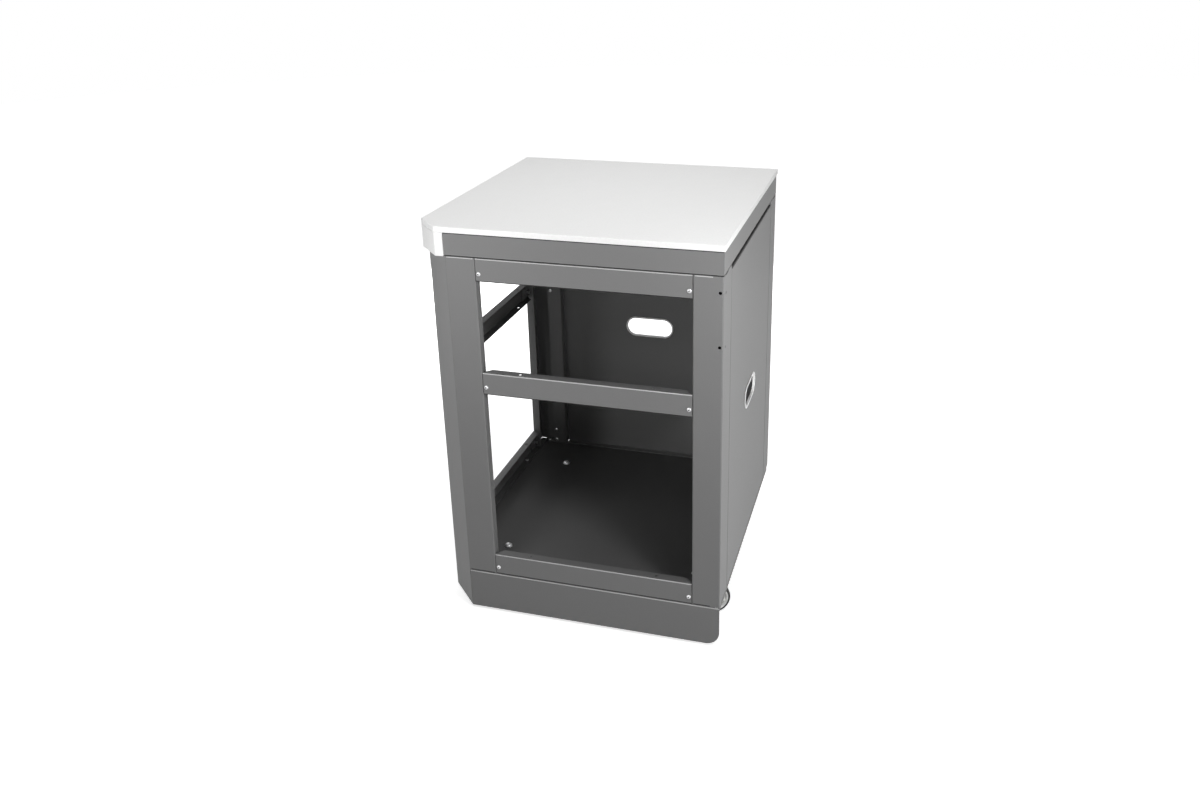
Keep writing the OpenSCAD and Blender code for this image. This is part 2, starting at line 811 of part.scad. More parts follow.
module axle() {
    out = fork_in + fork_t;
    color(zinc) translate([trail, 0, wheel_r]) rotate([-90, 0, 0]) rotate_extrude() polygon([
        [0, -out - axle_head_t], [axle_r, -out - axle_head_t], [axle_head_r, -out], [axle_r, -out],
        [axle_r, out], [axle_head_r, out], [axle_r, out + axle_head_t], [0, out + axle_head_t]]);
}

module hub() {
    w = wheel_w / 2 - side_play;
    boss_w = fork_in - side_play;
    hole_r = axle_r + thread_gap;
    color(nylon) translate([trail, 0, wheel_r]) rotate([-90, 0, 0]) rotate_extrude() polygon([
        [hole_r, -boss_w], [hub_boss_r - hub_rim_t / 2, -boss_w], [hub_boss_r, -hub_web_t / 2],
        [hub_r - hub_rim_t, -hub_web_t / 2], [hub_r - hub_rim_t, -w], [hub_r, -w],
        [hub_r, w], [hub_r - hub_rim_t, w], [hub_r - hub_rim_t, hub_web_t / 2],
        [hub_boss_r, hub_web_t / 2], [hub_boss_r - hub_rim_t / 2, boss_w], [hole_r, boss_w]]);
}

module tyre() {
    w = wheel_w / 2;
    shoulder = [for (k = [0:bend_steps]) [wheel_r - tyre_round + tyre_round * cos(90 * k / bend_steps),
        w - tyre_round + tyre_round * sin(90 * k / bend_steps)]];
    mirrored = [for (k = [bend_steps:-1:0]) [shoulder[k][0], -shoulder[k][1]]];
    color(rubber) translate([trail, 0, wheel_r]) rotate([-90, 0, 0]) rotate_extrude()
        polygon(concat(mirrored, shoulder, [[hub_r + thread_gap, w], [hub_r + thread_gap, -w]]));
}

module castor_fl_fork() { at_castor(castor_fl, turn_fl) fork(); }
module castor_fl_axle() { at_castor(castor_fl, turn_fl) axle(); }
module castor_fl_hub() { at_castor(castor_fl, turn_fl) hub(); }
module castor_fl_tyre() { at_castor(castor_fl, turn_fl) tyre(); }
module castor_fr_fork() { at_castor(castor_fr, turn_fr) fork(); }
module castor_fr_axle() { at_castor(castor_fr, turn_fr) axle(); }
module castor_fr_hub() { at_castor(castor_fr, turn_fr) hub(); }
module castor_fr_tyre() { at_castor(castor_fr, turn_fr) tyre(); }
module castor_rl_fork() { at_castor(castor_rl, turn_rl) fork(); }
module castor_rl_axle() { at_castor(castor_rl, turn_rl) axle(); }
module castor_rl_hub() { at_castor(castor_rl, turn_rl) hub(); }
module castor_rl_tyre() { at_castor(castor_rl, turn_rl) tyre(); }
module castor_rr_fork() { at_castor(castor_rr, turn_rr) fork(); }
module castor_rr_axle() { at_castor(castor_rr, turn_rr) axle(); }
module castor_rr_hub() { at_castor(castor_rr, turn_rr) hub(); }
module castor_rr_tyre() { at_castor(castor_rr, turn_rr) tyre(); }

worktop_slab();
corner_drop();
apron_gusset();
apron_front();
apron_left();
apron_right();
apron_back();
corner_post();
post_front_right();
post_rear_left();
post_rear_right();
front_rail_top();
front_rail_mid();
front_rail_bottom();
left_rail_top();
left_rail_mid();
left_rail_bottom();
side_panel();
back_panel();
side_slot_trim();
back_slot_trim();
base_tray();
kick_plate_front();
kick_plate_left();
rail_screws_front();
rail_screws_left();
rivet_nuts();
panel_screws();
panel_nuts();
kick_screws();
kick_nuts();
apron_screws();
apron_nuts();
foot_screws();
foot_nuts();
castor_heads();
castor_bolts();
castor_nuts();
swivel_balls();
castor_fl_fork();
castor_fl_axle();
castor_fl_hub();
castor_fl_tyre();
castor_fr_fork();
castor_fr_axle();
castor_fr_hub();
castor_fr_tyre();
castor_rl_fork();
castor_rl_axle();
castor_rl_hub();
castor_rl_tyre();
castor_rr_fork();
castor_rr_axle();
castor_rr_hub();
castor_rr_tyre();
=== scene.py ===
import json
from math import atan2, cos, pi, radians, sin

import bmesh
import bpy
from mathutils import Matrix, Vector


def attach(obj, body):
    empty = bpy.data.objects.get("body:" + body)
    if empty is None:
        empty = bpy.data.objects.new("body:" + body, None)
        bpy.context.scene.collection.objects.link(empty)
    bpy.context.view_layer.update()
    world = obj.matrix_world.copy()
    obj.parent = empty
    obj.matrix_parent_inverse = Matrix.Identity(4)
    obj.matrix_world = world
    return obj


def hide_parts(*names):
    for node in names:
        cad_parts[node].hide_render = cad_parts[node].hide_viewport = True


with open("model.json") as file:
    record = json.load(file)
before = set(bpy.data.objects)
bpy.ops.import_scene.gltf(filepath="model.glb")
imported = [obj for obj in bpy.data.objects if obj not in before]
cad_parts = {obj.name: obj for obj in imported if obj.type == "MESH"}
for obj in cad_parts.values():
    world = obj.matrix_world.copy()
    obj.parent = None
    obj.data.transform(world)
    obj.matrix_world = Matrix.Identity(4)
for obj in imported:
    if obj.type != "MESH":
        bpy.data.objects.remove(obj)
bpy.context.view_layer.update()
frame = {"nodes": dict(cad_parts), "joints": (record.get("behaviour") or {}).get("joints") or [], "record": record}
NODES = frame["nodes"]
JOINTS = {joint["name"]: joint for joint in frame["joints"]}
SLOT_OF = {part["node"]: part["material_slot"] for part in frame["record"]["subparts"]}
BODY_OF = {node: body for body, nodes in frame["record"]["behaviour"]["bodies"].items() for node in nodes}
scene = bpy.context.scene
scene.view_settings.view_transform = "Standard"

MM = 0.001

# The camera stands in front of the open side, a little to its right, and looks down. Its place is in
# metres, its lens and sensor are in millimetres, and its shift is a share of the picture's width.
CAMERA_AT = Vector((0.67858, -2.15331, 1.48379))
CAMERA_AZIMUTH = radians(15.74)
CAMERA_DOWN = radians(19.86)
CAMERA_ROLL = radians(-0.79)
CAMERA_LENS = 31.34
CAMERA_SENSOR = 36
CAMERA_SHIFT = (-0.0356, -0.0873)

# Lamps: place, aim, width and height in metres, and watts
LAMPS = {
    "overhead": ((0, 0, 2.4), (0, 0, 0.9), (1.0, 1.0), 17.3),
    "key_near_right": ((0.95, -0.93, 1.3), (-0.1, -0.2, 0.3), (0.22, 0.22), 5.8),
    "front_right": ((0.62, -0.7, 1.0), (0.2, -0.32, 0.7), (0.25, 0.25), 1.3),
    "front_left": ((-0.33, -0.8, 0.95), (-0.25, -0.32, 0.75), (0.2, 0.3), 1.7),
    "front_fill": ((-0.36, -2.7, 0.7), (0, -0.3, 0.5), (0.3, 0.8), 9.5),
    "right_side": ((1.6, -0.55, 0.45), (0.3, -0.38, 0.45), (0.4, 0.6), 6.8),
    "behind": ((-0.35, 2.3, 0.45), (-0.1, 0.3, 0.45), (0.9, 0.6), 20),
    "behind_left": ((-1.7, 1.8, 0.45), (-0.2, 0, 0.45), (0.8, 0.6), 25),
}
# Strength of the world, as the camera sees it and as it lights the object
WHITE = 1.0
WORLD_LIGHT = 0.05

# The floor in metres. To the camera it shines with a share of white up to the near distance from its
# middle, and with all of it from the far distance on.
FLOOR_RADIUS = 9
FLOOR_NEAR, FLOOR_NEAR_SHARE = 0.7, 0.7
FLOOR_FAR, FLOOR_FAR_SHARE = 2.2, 1.0

# Edges that turn more than CORNER are eased, and those that turn more than SHARP stay sharp in the shading
CORNER = radians(40)
SHARP = radians(35)
# Corners this near to each other are made one, and so are faces that turn this little to each other
SAME_CORNER = 0.005 * MM
SAME_FACE = radians(0.5)
# How far edges are rounded in millimetres and in how many steps, by node or by material slot
SHEET_EASE = (0.25, 2)
RIB_EASE = (0.4, 2)
EASES = {
    "stone_white": (1.2, 4),
    "edging_white": (0.6, 3),
    "castor_steel": (0.5, 2),
    "swivel_balls": SHEET_EASE,
}

# Painted light is a power of the finish's contrast: above 0 paints the finish lighter, below 0 darker
# A painted highlight on upper bends, and painted shade on level flanges, in sockets, in joints and under bends
PAINTED_BEND_HIGHLIGHT = 1.4
PAINTED_FLANGE_SHADE = -0.6
PAINTED_SOCKET_SHADE = -1
PAINTED_SHADE = -2
PAINTED_UNDER_BEND_SHADE = -3
COAT_CONTRAST = 2.0
ZINC_CONTRAST = 8.0
# Most values of a noise lie in the first span, and a finish of two tones changes over the second
NOISE_SPAN = (0.3, 0.7)
TONE_SPAN = (0.35, 0.65)
# The strips along a bend of the sheet are narrow, and turn by more than BEND_STEP from each to the next
STRIP_WIDTH = 1.5 * MM
BEND_STEP = radians(5)
# How far a face looks up, from 0 for an upright face to 1 for a level one
LEANING = 0.15
MOSTLY_UP = 0.7
LEVEL = 0.95
# The painted shade of a joint goes this far down from the top of a piece
JOINT_DEPTH = 4 * MM
# Smaller faces than this are shaded smooth, as on heads, wheels and round holes
SMALL_FACE = 60 * MM * MM

# Screws: thread, and length of the shank below the head, in millimetres
SCREWS = {
    "rail_screws_front": (5, 12.5),
    "rail_screws_left": (5, 12.5),
    "panel_screws": (5, 7.3),
    "kick_screws": (6, 9.6),
    "apron_screws": (6, 8.1),
    "foot_screws": (6, 8.1),
    "castor_bolts": (10, 29.8),
}
# Nuts: thread in millimetres
NUTS = {"panel_nuts": 5, "kick_nuts": 6, "apron_nuts": 6, "foot_nuts": 6, "castor_nuts": 10}
# Each screw of a group stands turned by this much more than the one before it
SCREW_TURN = radians(37)


# Materials

def shader(name, colour, roughness, metallic=0.0):
    """A new material with its surface shader, and the object coordinates for its patterns."""
    material = bpy.data.materials.new(name)
    material.use_nodes = True
    nodes, links = material.node_tree.nodes, material.node_tree.links
    surface = nodes["Principled BSDF"]
    surface.inputs["Base Color"].default_value = (*colour, 1)
    surface.inputs["Roughness"].default_value = roughness
    surface.inputs["Metallic"].default_value = metallic
    place = nodes.new("ShaderNodeTexCoord").outputs["Object"]
    return material, nodes, links, surface, place


def noise(nodes, links, place, scale, detail=2.0, stretch=(1, 1, 1)):
    """Noise with features of about 1 / scale metres, drawn out along the axes of a small stretch."""
    mapping = nodes.new("ShaderNodeMapping")
    mapping.inputs["Scale"].default_value = stretch
    links.new(place, mapping.inputs["Vector"])
    texture = nodes.new("ShaderNodeTexNoise")
    texture.inputs["Scale"].default_value = scale
    texture.inputs["Detail"].default_value = detail
    links.new(mapping.outputs["Vector"], texture.inputs["Vector"])
    return texture.outputs["Fac"]


def carried_over(nodes, given, wanted):
    """A node that carries the values of a given span over to the wanted span."""
    node = nodes.new("ShaderNodeMapRange")
    for name, limit in zip(("From Min", "From Max", "To Min", "To Max"), (*given, *wanted)):
        node.inputs[name].default_value = limit
    return node


def spread(nodes, links, value, low, high, socket):
    """Carries the middle of a noise, stretched over low to high, to a socket."""
    stretched = carried_over(nodes, NOISE_SPAN, (low, high))
    links.new(value, stretched.inputs["Value"])
    links.new(stretched.outputs["Result"], socket)


def two_tone(nodes, links, value, dark, light):
    """A colour that a noise moves between two tones."""
    ramp = nodes.new("ShaderNodeValToRGB")
    for stop, position, tone in zip(ramp.color_ramp.elements, TONE_SPAN, (dark, light)):
        stop.position = position
        stop.color = (*tone, 1)
    links.new(value, ramp.inputs["Fac"])
    return ramp.outputs["Color"]


def relief(nodes, links, value, surface, depth, strength):
    """Lets a noise raise and sink the surface a little."""
    bump = nodes.new("ShaderNodeBump")
    bump.inputs["Distance"].default_value = depth
    bump.inputs["Strength"].default_value = strength
    links.new(value, bump.inputs["Height"])
    links.new(bump.outputs["Normal"], surface.inputs["Normal"])


def with_painted_light(nodes, links, tone, contrast, socket):
    """Carries a tone to a socket, times the contrast raised to the painted light or shade of the piece's faces."""
    painted_light = nodes.new("ShaderNodeAttribute")
    painted_light.attribute_name = "painted_light"
    power = nodes.new("ShaderNodeMath")
    power.operation = "POWER"
    power.inputs[0].default_value = contrast
    links.new(painted_light.outputs["Fac"], power.inputs[1])
    scale = nodes.new("ShaderNodeVectorMath")
    scale.operation = "SCALE"
    links.new(tone, scale.inputs["Vector"])
    links.new(power.outputs["Value"], scale.inputs["Scale"])
    links.new(scale.outputs["Vector"], socket)


def powder_coat(name, grey):
    """Satin powder coat: an even grey with the faint orange peel of the baked powder. It is painted
    lighter as a highlight, or darker as shade, where the sheet's faces are marked with painted light."""
    material, nodes, links, surface, place = shader(name, (grey,) * 3, roughness=0.44)
    surface.inputs["Specular IOR Level"].default_value = 0.12
    grain = noise(nodes, links, place, scale=900)
    tone = two_tone(nodes, links, grain, dark=(grey * 0.975,) * 3, light=(grey * 1.025,) * 3)
    # The coat's grey, painted lighter on highlighted bends and darker where shade is painted
    with_painted_light(nodes, links, tone, COAT_CONTRAST, surface.inputs["Base Color"])
    peel = noise(nodes, links, place, scale=700)
    spread(nodes, links, peel, 0.42, 0.47, surface.inputs["Roughness"])
    relief(nodes, links, peel, surface, depth=0.03 * MM, strength=0.2)
    return material


def white_stone(name):
    """Honed white stone with a fine, barely visible grain."""
    material, nodes, links, surface, place = shader(name, (0.86, 0.86, 0.855), roughness=0.38)
    grain = noise(nodes, links, place, scale=260, detail=5.0)
    tone = two_tone(nodes, links, grain, dark=(0.84, 0.84, 0.835), light=(0.875, 0.875, 0.87))
    links.new(tone, surface.inputs["Base Color"])
    spread(nodes, links, noise(nodes, links, place, scale=30), 0.34, 0.44, surface.inputs["Roughness"])
    relief(nodes, links, noise(nodes, links, place, scale=500), surface, depth=0.03 * MM, strength=0.2)
    return material


def zinc_plate(name, grey, roughness, metallic=1.0):
    """Zinc plate, slightly cloudy, with the fine lines of the drawn or rolled steel, and with painted shade in the
    sockets of screws."""
    material, nodes, links, surface, place = shader(name, (grey,) * 3, roughness, metallic)
    clouds = noise(nodes, links, place, scale=160)
    tone = two_tone(nodes, links, clouds, dark=(grey * 0.9, grey * 0.905, grey * 0.915),
                    light=(grey, grey * 1.005, grey * 1.01))
    # The zinc's tone, painted darker as shade in screw sockets
    with_painted_light(nodes, links, tone, ZINC_CONTRAST, surface.inputs["Base Color"])
    haze = noise(nodes, links, place, scale=220, detail=4.0)
    spread(nodes, links, haze, roughness * 0.8, roughness * 1.3, surface.inputs["Roughness"])
    drawn_lines = noise(nodes, links, place, scale=900, stretch=(1, 1, 0.15))
    relief(nodes, links, drawn_lines, surface, depth=0.02 * MM, strength=0.3)
    return material


def moulded_plastic(name, colour, roughness):
    """Moulded plastic with a fine spark-eroded grain."""
    material, nodes, links, surface, place = shader(name, colour, roughness)
    clouds = noise(nodes, links, place, scale=90)
    tone = two_tone(nodes, links, clouds, dark=tuple(c * 0.96 for c in colour), light=colour)
    links.new(tone, surface.inputs["Base Color"])
    relief(nodes, links, noise(nodes, links, place, scale=1500), surface, depth=0.03 * MM, strength=0.3)
    return material


def tyre_rubber(name):
    """Dark rubber with floor dust in its grain."""
    material, nodes, links, surface, place = shader(name, (0.03, 0.03, 0.03), roughness=0.72)
    dust = noise(nodes, links, place, scale=130, detail=4.0)
    tone = two_tone(nodes, links, dust, dark=(0.022, 0.022, 0.022), light=(0.042, 0.041, 0.04))
    links.new(tone, surface.inputs["Base Color"])
    spread(nodes, links, noise(nodes, links, place, scale=300), 0.62, 0.82, surface.inputs["Roughness"])
    relief(nodes, links, noise(nodes, links, place, scale=1200), surface, depth=0.05 * MM, strength=0.4)
    return material


# By node or by material slot
FINISHES = {
    "stone_white": white_stone("white_stone"),
    "coat_grey": powder_coat("grey_powder_coat", 0.2),
    "coat_dark": powder_coat("dark_powder_coat", 0.195),
    "edging_white": moulded_plastic("white_edging", (0.97, 0.97, 0.965), 0.35),
    "zinc_bright": zinc_plate("bright_zinc", 0.6, 0.3),
    "castor_steel": zinc_plate("castor_zinc", 0.72, 0.34),
    # The tray's coat is the grey coat painted darker, as painted shade for the inside of the cabinet
    "base_tray": powder_coat("tray_coat_painted_darker", 0.115),
    "castor_bolts": zinc_plate("castor_bolt_zinc", 0.96, 0.35, metallic=0.5),
    "wheel_nylon": moulded_plastic("wheel_nylon", (0.92, 0.92, 0.91), 0.4),
    "tyre_rubber": tyre_rubber("tyre_rubber"),
}


# Pieces

def shade(mesh):
    """Shades bends, heads and wheels smooth, and wide faces flat, so that no false shadow shows at their
    holes."""
    mesh.shade_smooth()
    mesh.set_sharp_from_angle(angle=SHARP)
    for face in mesh.polygons:
        around = sum((mesh.vertices[a].co - mesh.vertices[b].co).length for a, b in face.edge_keys)
        face.use_smooth = face.area < SMALL_FACE or 2 * face.area < STRIP_WIDTH * around


def place_piece(bm, node):
    """Makes the mesh a piece that stands for the node, rides on its body and wears its finish."""
    name = node + "_finished"
    mesh = bpy.data.meshes.new(name)
    bm.to_mesh(mesh)
    bm.free()
    shade(mesh)
    piece = bpy.data.objects.new(name, mesh)
    scene.collection.objects.link(piece)
    mesh.materials.append(FINISHES.get(node) or FINISHES[SLOT_OF[node]])
    flatness = piece.modifiers.new("flat faces stay flat", "WEIGHTED_NORMAL")
    flatness.weight = 50
    flatness.keep_sharp = True
    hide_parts(node)
    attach(piece, BODY_OF[node])


def solid_of(node):
    """The node's solid as one closed mesh with its flat faces whole."""
    bm = bmesh.new()
    bm.from_mesh(NODES[node].data)
    bmesh.ops.remove_doubles(bm, verts=bm.verts, dist=SAME_CORNER)
    bmesh.ops.dissolve_limit(bm, angle_limit=SAME_FACE, verts=bm.verts, edges=bm.edges)
    return bm


def round_edges(bm, edges, ease, segments):
    bmesh.ops.bevel(bm, geom=edges, offset=ease * MM, offset_type="OFFSET", affect="EDGES",
                    segments=segments, profile=0.5, material=-1, clamp_overlap=True)


def bends_of(face):
    """The edges of a face at which the sheet bends on."""
    return [edge for edge in face.edges if edge.is_manifold and edge.is_convex
            and BEND_STEP < edge.calc_face_angle() < CORNER]


def painted_light_of(face, node, top):
    """The painted light of a face of the sheet. Upper bends get a painted highlight on the open sides, front
    and left, and painted shade elsewhere, as lower bends do. The tops of aprons and panels get painted shade in
    their joints, and the level flanges of rails are painted darker as shade."""
    looks_up = face.normal.z
    ends_in_joint = node.startswith("apron") or node.endswith("_panel")
    if ends_in_joint and looks_up > LEANING and face.calc_center_median().z > top - JOINT_DEPTH:
        return PAINTED_SHADE
    if "_rail_" in node and looks_up > LEVEL:
        return PAINTED_FLANGE_SHADE
    width = 2 * face.calc_area() / face.calc_perimeter()
    if width >= STRIP_WIDTH or len(bends_of(face)) < 2:
        return 0
    if LEANING < looks_up < MOSTLY_UP:
        # Upper bends get a painted highlight on the open sides and painted shade on the others
        is_on_open_side = face.normal.x + face.normal.y < 0
        return PAINTED_BEND_HIGHLIGHT if is_on_open_side else PAINTED_SHADE
    return PAINTED_UNDER_BEND_SHADE if looks_up < -LEANING else 0


def eased_piece(node):
    """The node's solid with its outer corners rounded, so that they catch the light."""
    bm = solid_of(node)
    if SLOT_OF[node].startswith("coat"):
        # Each face of the coated sheet gets its painted highlight or painted shade
        painted_light = bm.faces.layers.float.new("painted_light")
        top = max(vert.co.z for vert in bm.verts)
        for face in bm.faces:
            face[painted_light] = painted_light_of(face, node, top)
    corners = [edge for edge in bm.edges
               if edge.is_manifold and edge.is_convex and edge.calc_face_angle() > CORNER]
    ease, segments = EASES.get(node) or EASES.get(SLOT_OF[node], SHEET_EASE)
    round_edges(bm, corners, ease, segments)
    place_piece(bm, node)


# Turned parts: a section of radius and height in millimetres, spun round its axis

def turned_part(section, steps, corners=None, shaded_within=0.0):
    """Spins a section round Z. A ring listed in corners gets a hexagon's six corners, which step up by its
    value for each millimetre that they stand out. Faces above height 0 within a radius get painted shade."""
    bm = bmesh.new()
    verts = [bm.verts.new((radius * MM, 0, height * MM)) for radius, height in section]
    is_bored = section[0][0] > 0
    outline = verts + verts[:1] if is_bored else verts
    edges = [bm.edges.new(pair) for pair in zip(outline, outline[1:])]
    bmesh.ops.spin(bm, geom=verts + edges, cent=(0, 0, 0), axis=(0, 0, 1), angle=2 * pi, steps=steps,
                   use_merge=True)
    bmesh.ops.remove_doubles(bm, verts=bm.verts, dist=SAME_CORNER)
    for ring, step in (corners or {}).items():
        six_corners(bm, section[ring][0] * MM, section[ring][1] * MM, step)
    bmesh.ops.recalc_face_normals(bm, faces=bm.faces)
    # The socket of a screw head gets painted shade
    painted_light = bm.faces.layers.float.new("painted_light")
    for face in bm.faces:
        is_inside = all(vert.co.xy.length < shaded_within * MM for vert in face.verts)
        if is_inside and face.calc_center_median().z > 0:
            face[painted_light] = PAINTED_SOCKET_SHADE
    mesh = bpy.data.meshes.new("turned_part")
    bm.to_mesh(mesh)
    bm.free()
    return mesh


def six_corners(bm, radius, height, step):
    """Draws the round ring at a radius and height out to a hexagon round it."""
    for vert in bm.verts:
        if abs(vert.co.xy.length - radius) < SAME_CORNER and abs(vert.co.z - height) < SAME_CORNER:
            stretch = 1 / cos(atan2(vert.co.y, vert.co.x) % radians(60) - radians(30))
            vert.co = (vert.co.x * stretch, vert.co.y * stretch, height + step * radius * (stretch - 1))


def arc(radius, height, angles, middle=(0, 0)):
    """The points of a section along a quarter of an ellipse, at angles in degrees."""
    return [(middle[0] + radius * cos(radians(t)), middle[1] + height * sin(radians(t))) for t in angles]


def add_copy(bm, mesh, placing):
    """Adds a copy of the mesh to the piece in hand."""
    known = len(bm.verts)
    bm.from_mesh(mesh)
    bm.verts.ensure_lookup_table()
    bmesh.ops.transform(bm, matrix=placing, verts=bm.verts[known:])


def frame_at(at, facing, corner):
    """The placing that turns Z to the facing direction and X to the corner direction."""
    facing, corner = Vector(facing), Vector(corner)
    turn = Matrix((corner, facing.cross(corner), facing)).transposed().to_4x4()
    return Matrix.Translation(at) @ turn


def button_screw(thread, length):
    """Button-head screw with a hexagon socket; its seat is at height 0 and its shank hangs below."""
    head, rise, socket, shank = 0.95 * thread, 0.55 * thread, 0.3 * thread, thread / 2
    play, tip = 0.05, 0.5
    section = [(0, 0.02 * thread), (socket, 0.12 * thread), (socket, 0.5 * thread),
               (0.375 * thread, 0.506 * thread), *arc(head, rise, (56, 46, 36, 26, 16, 8)),
               (head, 0.03 * thread), (0.93 * thread, 0), (shank - play, 0),
               (shank - play, tip - length), (shank - tip, -length), (0, -length)]
    # The hexagon socket of the head gets painted shade
    return turned_part(section, steps=36, corners={1: 0, 2: 0}, shaded_within=0.36 * thread)


def castor_bolt(thread, length):
    """Bolt with a smooth domed head."""
    head, rise, shank = 8.75, 6.5, thread / 2
    brim, brim_slant, play, tip = 0.4, 0.25, 0.05, 0.6
    section = [(0, rise), *arc(head, rise, (78, 67, 56, 45, 34, 23, 12)), (head, brim),
               (head - brim_slant, 0), (shank - play, 0), (shank - play, tip - length),
               (shank - tip, -length), (0, -length)]
    return turned_part(section, steps=36)


def hexagon_nut(thread):
    """Nut with its corners chamfered on both faces, hanging below height 0."""
    flat, height, slope = 0.8 * thread, 0.8 * thread, 0.577
    bore, mouth, chamfer = 0.5 * thread, 0.55 * thread, 0.024 * thread
    section = [(mouth, 0), (flat - chamfer, 0), (flat, -chamfer * slope), (flat, chamfer * slope - height),
               (flat - chamfer, -height), (mouth, -height), (bore, mouth - bore - height),
               (bore, bore - mouth)]
    return turned_part(section, steps=36, corners={2: -slope, 3: slope})


def solids_of(node):
    """The low and high corner of each separate solid of a node."""
    bm = solid_of(node)
    left = set(bm.verts)
    boxes = []
    while left:
        solid = [left.pop()]
        for vert in solid:
            for edge in vert.link_edges:
                other = edge.other_vert(vert)
                if other in left:
                    left.remove(other)
                    solid.append(other)
        boxes.append((Vector(min(vert.co[i] for vert in solid) for i in range(3)),
                      Vector(max(vert.co[i] for vert in solid) for i in range(3))))
    bm.free()
    return sorted(boxes, key=lambda box: tuple(box[0]))


def facing_of(node, middle):
    """The direction that the head of a screw, or the free side of a nut, looks in."""
    if node == "rail_screws_front":
        return Vector((0, -1, 0))
    if node == "rail_screws_left":
        return Vector((-1, 0, 0))
    if node in ("panel_screws", "panel_nuts"):
        return Vector((-1, 0, 0)) if middle.x > middle.y else Vector((0, -1, 0))
    return Vector((0, 0, -1 if node in ("apron_screws", "apron_nuts") else 1))


def fasteners(node):
    """The node's screws or nuts, each where the node has its solid."""
    if node in NUTS:
        mesh = hexagon_nut(NUTS[node])
    else:
        thread, length = SCREWS[node]
        mesh = castor_bolt(thread, length) if node == "castor_bolts" else button_screw(thread, length)
    bm = bmesh.new()
    for number, (low, high) in enumerate(solids_of(node)):
        size, middle = high - low, (low + high) / 2
        facing = facing_of(node, middle)
        half = abs(size.dot(facing)) / 2
        across = [axis for axis in ((1, 0, 0), (0, 1, 0), (0, 0, 1)) if not Vector(axis).dot(facing)]
        corner = max(across, key=lambda axis: size.dot(Vector(axis)))
        if node in NUTS:
            placing = frame_at(middle + facing * half, facing, corner)
        else:
            seat = middle - facing * (half - length * MM)
            placing = frame_at(seat, facing, corner) @ Matrix.Rotation(number * SCREW_TURN, 4, "Z")
        add_copy(bm, mesh, placing)
    place_piece(bm, node)


# Castor wheels, turned round Z and then set on the axle of their castor

def wheel_placing(node):
    """Sets Z along the axle of the node's castor, through the middle of its wheel."""
    joint = JOINTS[node.rsplit("_", 1)[0] + "_roll"]
    return frame_at(Vector(joint["pos_m"]), joint["axis"], (0, 0, 1))


def wheel_hub(node):
    """Moulded hub: bored boss, web with eight ribs on each face, and a rim that carries the tyre."""
    # Radii from the bore to the rim, half widths along the axle, and roundings
    bore, mouth, boss_end, boss, boss_foot, rim_foot, rim_inside, rim = 4.05, 4.5, 7, 7.6, 9, 28.3, 28.5, 31.5
    half_boss, half_rim, half_web = 13.7, 11.7, 3
    ease, boss_fillet, rim_fillet = 0.5, 1.2, 1.1
    ribs, rib_middle, rib_offset = 8, 18.4 * MM, 6.2 * MM
    rib_size = Matrix.Diagonal((20.6 * MM, 2 * MM, 6.8 * MM, 1))
    half_section = [(bore, half_boss - ease), (mouth, half_boss), (boss_end, half_boss),
                    (boss, half_boss - ease), (boss_foot, half_web + boss_fillet),
                    (boss_foot + boss_fillet, half_web), (rim_foot - rim_fillet, half_web),
                    (rim_foot, half_web + rim_fillet), (rim_inside, half_rim - ease),
                    (rim_inside + ease, half_rim), (rim - ease, half_rim), (rim, half_rim - ease)]
    mirrored = [(r, -z) for r, z in reversed(half_section)]
    bm = bmesh.new()
    add_copy(bm, turned_part(half_section + mirrored, steps=64), Matrix())
    for side in (-1, 1):
        for number in range(ribs):
            turn = Matrix.Rotation(2 * pi * (number + 0.5) / ribs, 4, "Z")
            placing = turn @ Matrix.Translation((rib_middle, 0, side * rib_offset)) @ rib_size
            rib = bmesh.ops.create_cube(bm, size=1, matrix=placing)["verts"]
            edges = dict.fromkeys(edge for vert in rib for edge in vert.link_edges)
            round_edges(bm, list(edges), *RIB_EASE)
    bmesh.ops.transform(bm, matrix=wheel_placing(node), verts=bm.verts)
    place_piece(bm, node)


def wheel_tyre(node):
    """Tyre with a slightly crowned tread, round shoulders and a stepped bead at the rim."""
    tread, half_width, shoulder, crown = 37.5, 12, 4, 0.1
    rim_inside, bead, bead_step = 31.55, 32.9, 0.2
    middle = (tread - shoulder, half_width - shoulder)
    half_section = [(tread, 0), (tread - crown / 5, middle[1] / 2),
                    *arc(shoulder - crown, shoulder, range(0, 91, 15), middle), (bead, half_width),
                    (bead - bead_step, half_width - bead_step), (rim_inside, half_width - bead_step)]
    mirrored = [(r, -z) for r, z in reversed(half_section[1:])]
    bm = bmesh.new()
    add_copy(bm, turned_part(half_section + mirrored, steps=96), wheel_placing(node))
    place_piece(bm, node)


for node, slot_name in SLOT_OF.items():
    if node in SCREWS or node in NUTS:
        fasteners(node)
    elif slot_name == "wheel_nylon":
        wheel_hub(node)
    elif slot_name == "tyre_rubber":
        wheel_tyre(node)
    else:
        eased_piece(node)


# Studio

def lift_light(nodes, links, socket, plain, seen):
    """Sets a strength to seen, a number or an output, for what the camera, gloss and glass look at, and to
    plain for other light."""
    path = nodes.new("ShaderNodeLightPath")
    looks = path.outputs["Is Camera Ray"]
    for ray in ("Is Glossy Ray", "Is Transmission Ray"):
        either = nodes.new("ShaderNodeMath")
        either.operation = "MAXIMUM"
        links.new(looks, either.inputs[0])
        links.new(path.outputs[ray], either.inputs[1])
        looks = either.outputs["Value"]
    strength = nodes.new("ShaderNodeMapRange")
    strength.inputs["To Min"].default_value = plain
    if isinstance(seen, float):
        strength.inputs["To Max"].default_value = seen
    else:
        links.new(seen, strength.inputs["To Max"])
    links.new(looks, strength.inputs["Value"])
    links.new(strength.outputs["Result"], socket)


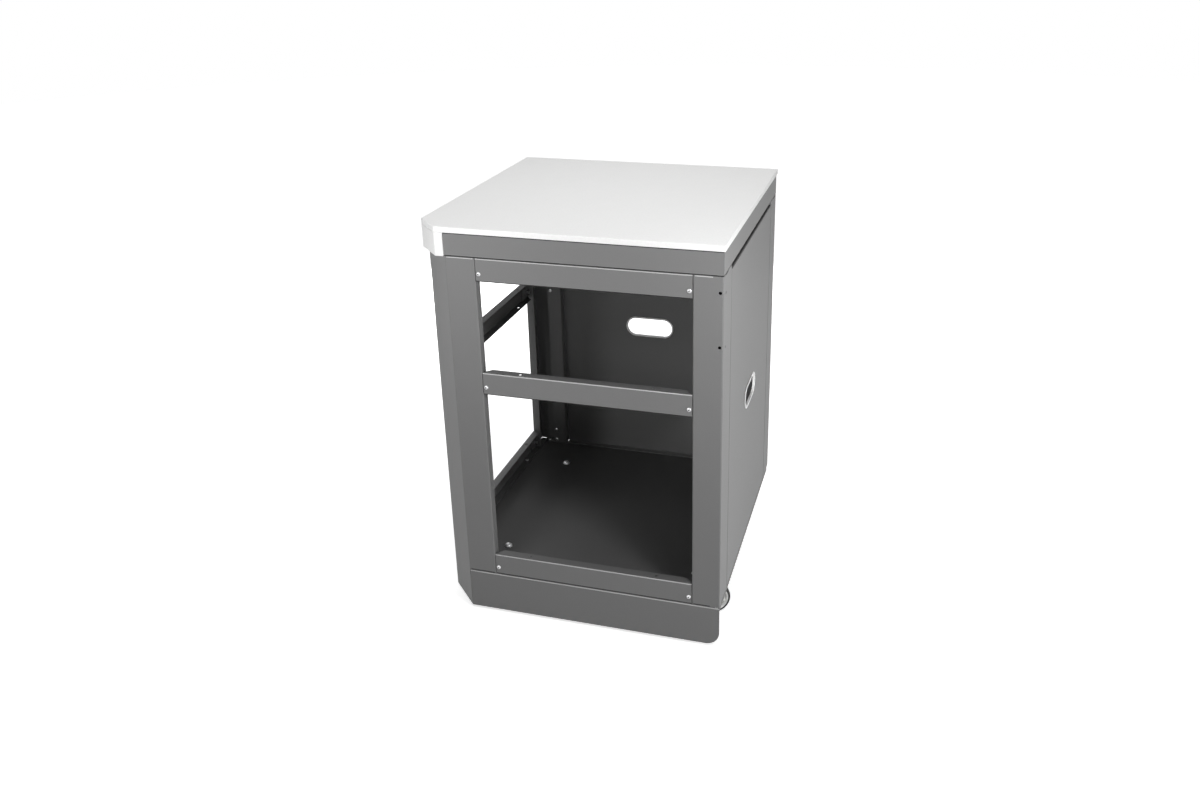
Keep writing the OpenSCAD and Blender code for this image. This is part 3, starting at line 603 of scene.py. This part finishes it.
def pale_floor():
    """Matt pale grey that the camera sees as white. Near the cabinet it leaves room for the light of the
    lamps, so that it still takes the cabinet's shadow."""
    material, nodes, links, surface, place = shader("pale_floor", (0.8, 0.8, 0.8), roughness=0.9)
    surface.inputs["Emission Color"].default_value = (1, 1, 1, 1)
    away = nodes.new("ShaderNodeVectorMath")
    away.operation = "LENGTH"
    links.new(place, away.inputs[0])
    whiter = carried_over(nodes, (FLOOR_NEAR, FLOOR_FAR), (FLOOR_NEAR_SHARE, FLOOR_FAR_SHARE))
    links.new(away.outputs["Value"], whiter.inputs["Value"])
    lift_light(nodes, links, surface.inputs["Emission Strength"], 0.0, whiter.outputs["Result"])
    return material


def studio_floor():
    bm = bmesh.new()
    bmesh.ops.create_circle(bm, cap_ends=True, segments=64, radius=FLOOR_RADIUS)
    mesh = bpy.data.meshes.new("studio_floor")
    bm.to_mesh(mesh)
    bm.free()
    floor = bpy.data.objects.new("studio_floor", mesh)
    scene.collection.objects.link(floor)
    mesh.materials.append(pale_floor())


def studio_world():
    """White to the camera, and only a faint light on the object."""
    world = bpy.data.worlds.new("studio")
    scene.world = world
    world.use_nodes = True
    nodes, links = world.node_tree.nodes, world.node_tree.links
    background = nodes["Background"]
    background.inputs["Color"].default_value = (1, 1, 1, 1)
    lift_light(nodes, links, background.inputs["Strength"], WORLD_LIGHT, WHITE)


def softbox(name, at, aim, size, watts):
    light = bpy.data.lights.new(name, "AREA")
    light.shape = "RECTANGLE"
    light.size, light.size_y = size
    light.energy = watts
    box = bpy.data.objects.new(name, light)
    scene.collection.objects.link(box)
    box.location = at
    box.rotation_euler = (Vector(aim) - Vector(at)).to_track_quat("-Z", "Y").to_euler()
    box.visible_camera = False


def photo_camera():
    camera = bpy.data.cameras.new("camera")
    camera.lens = CAMERA_LENS
    camera.sensor_width = CAMERA_SENSOR
    camera.shift_x, camera.shift_y = CAMERA_SHIFT
    ahead = Vector((-sin(CAMERA_AZIMUTH) * cos(CAMERA_DOWN), cos(CAMERA_AZIMUTH) * cos(CAMERA_DOWN),
                    -sin(CAMERA_DOWN)))
    level = Vector((cos(CAMERA_AZIMUTH), sin(CAMERA_AZIMUTH), 0))
    up = level.cross(ahead)
    right = level * cos(CAMERA_ROLL) + up * sin(CAMERA_ROLL)
    top = up * cos(CAMERA_ROLL) - level * sin(CAMERA_ROLL)
    turn = Matrix((right, top, -ahead)).transposed().to_4x4()
    rig = bpy.data.objects.new("camera", camera)
    rig.matrix_world = Matrix.Translation(CAMERA_AT) @ turn
    scene.collection.objects.link(rig)
    scene.camera = rig


studio_floor()
studio_world()
for name, (at, aim, size, watts) in LAMPS.items():
    softbox(name, at, aim, size, watts)
photo_camera()
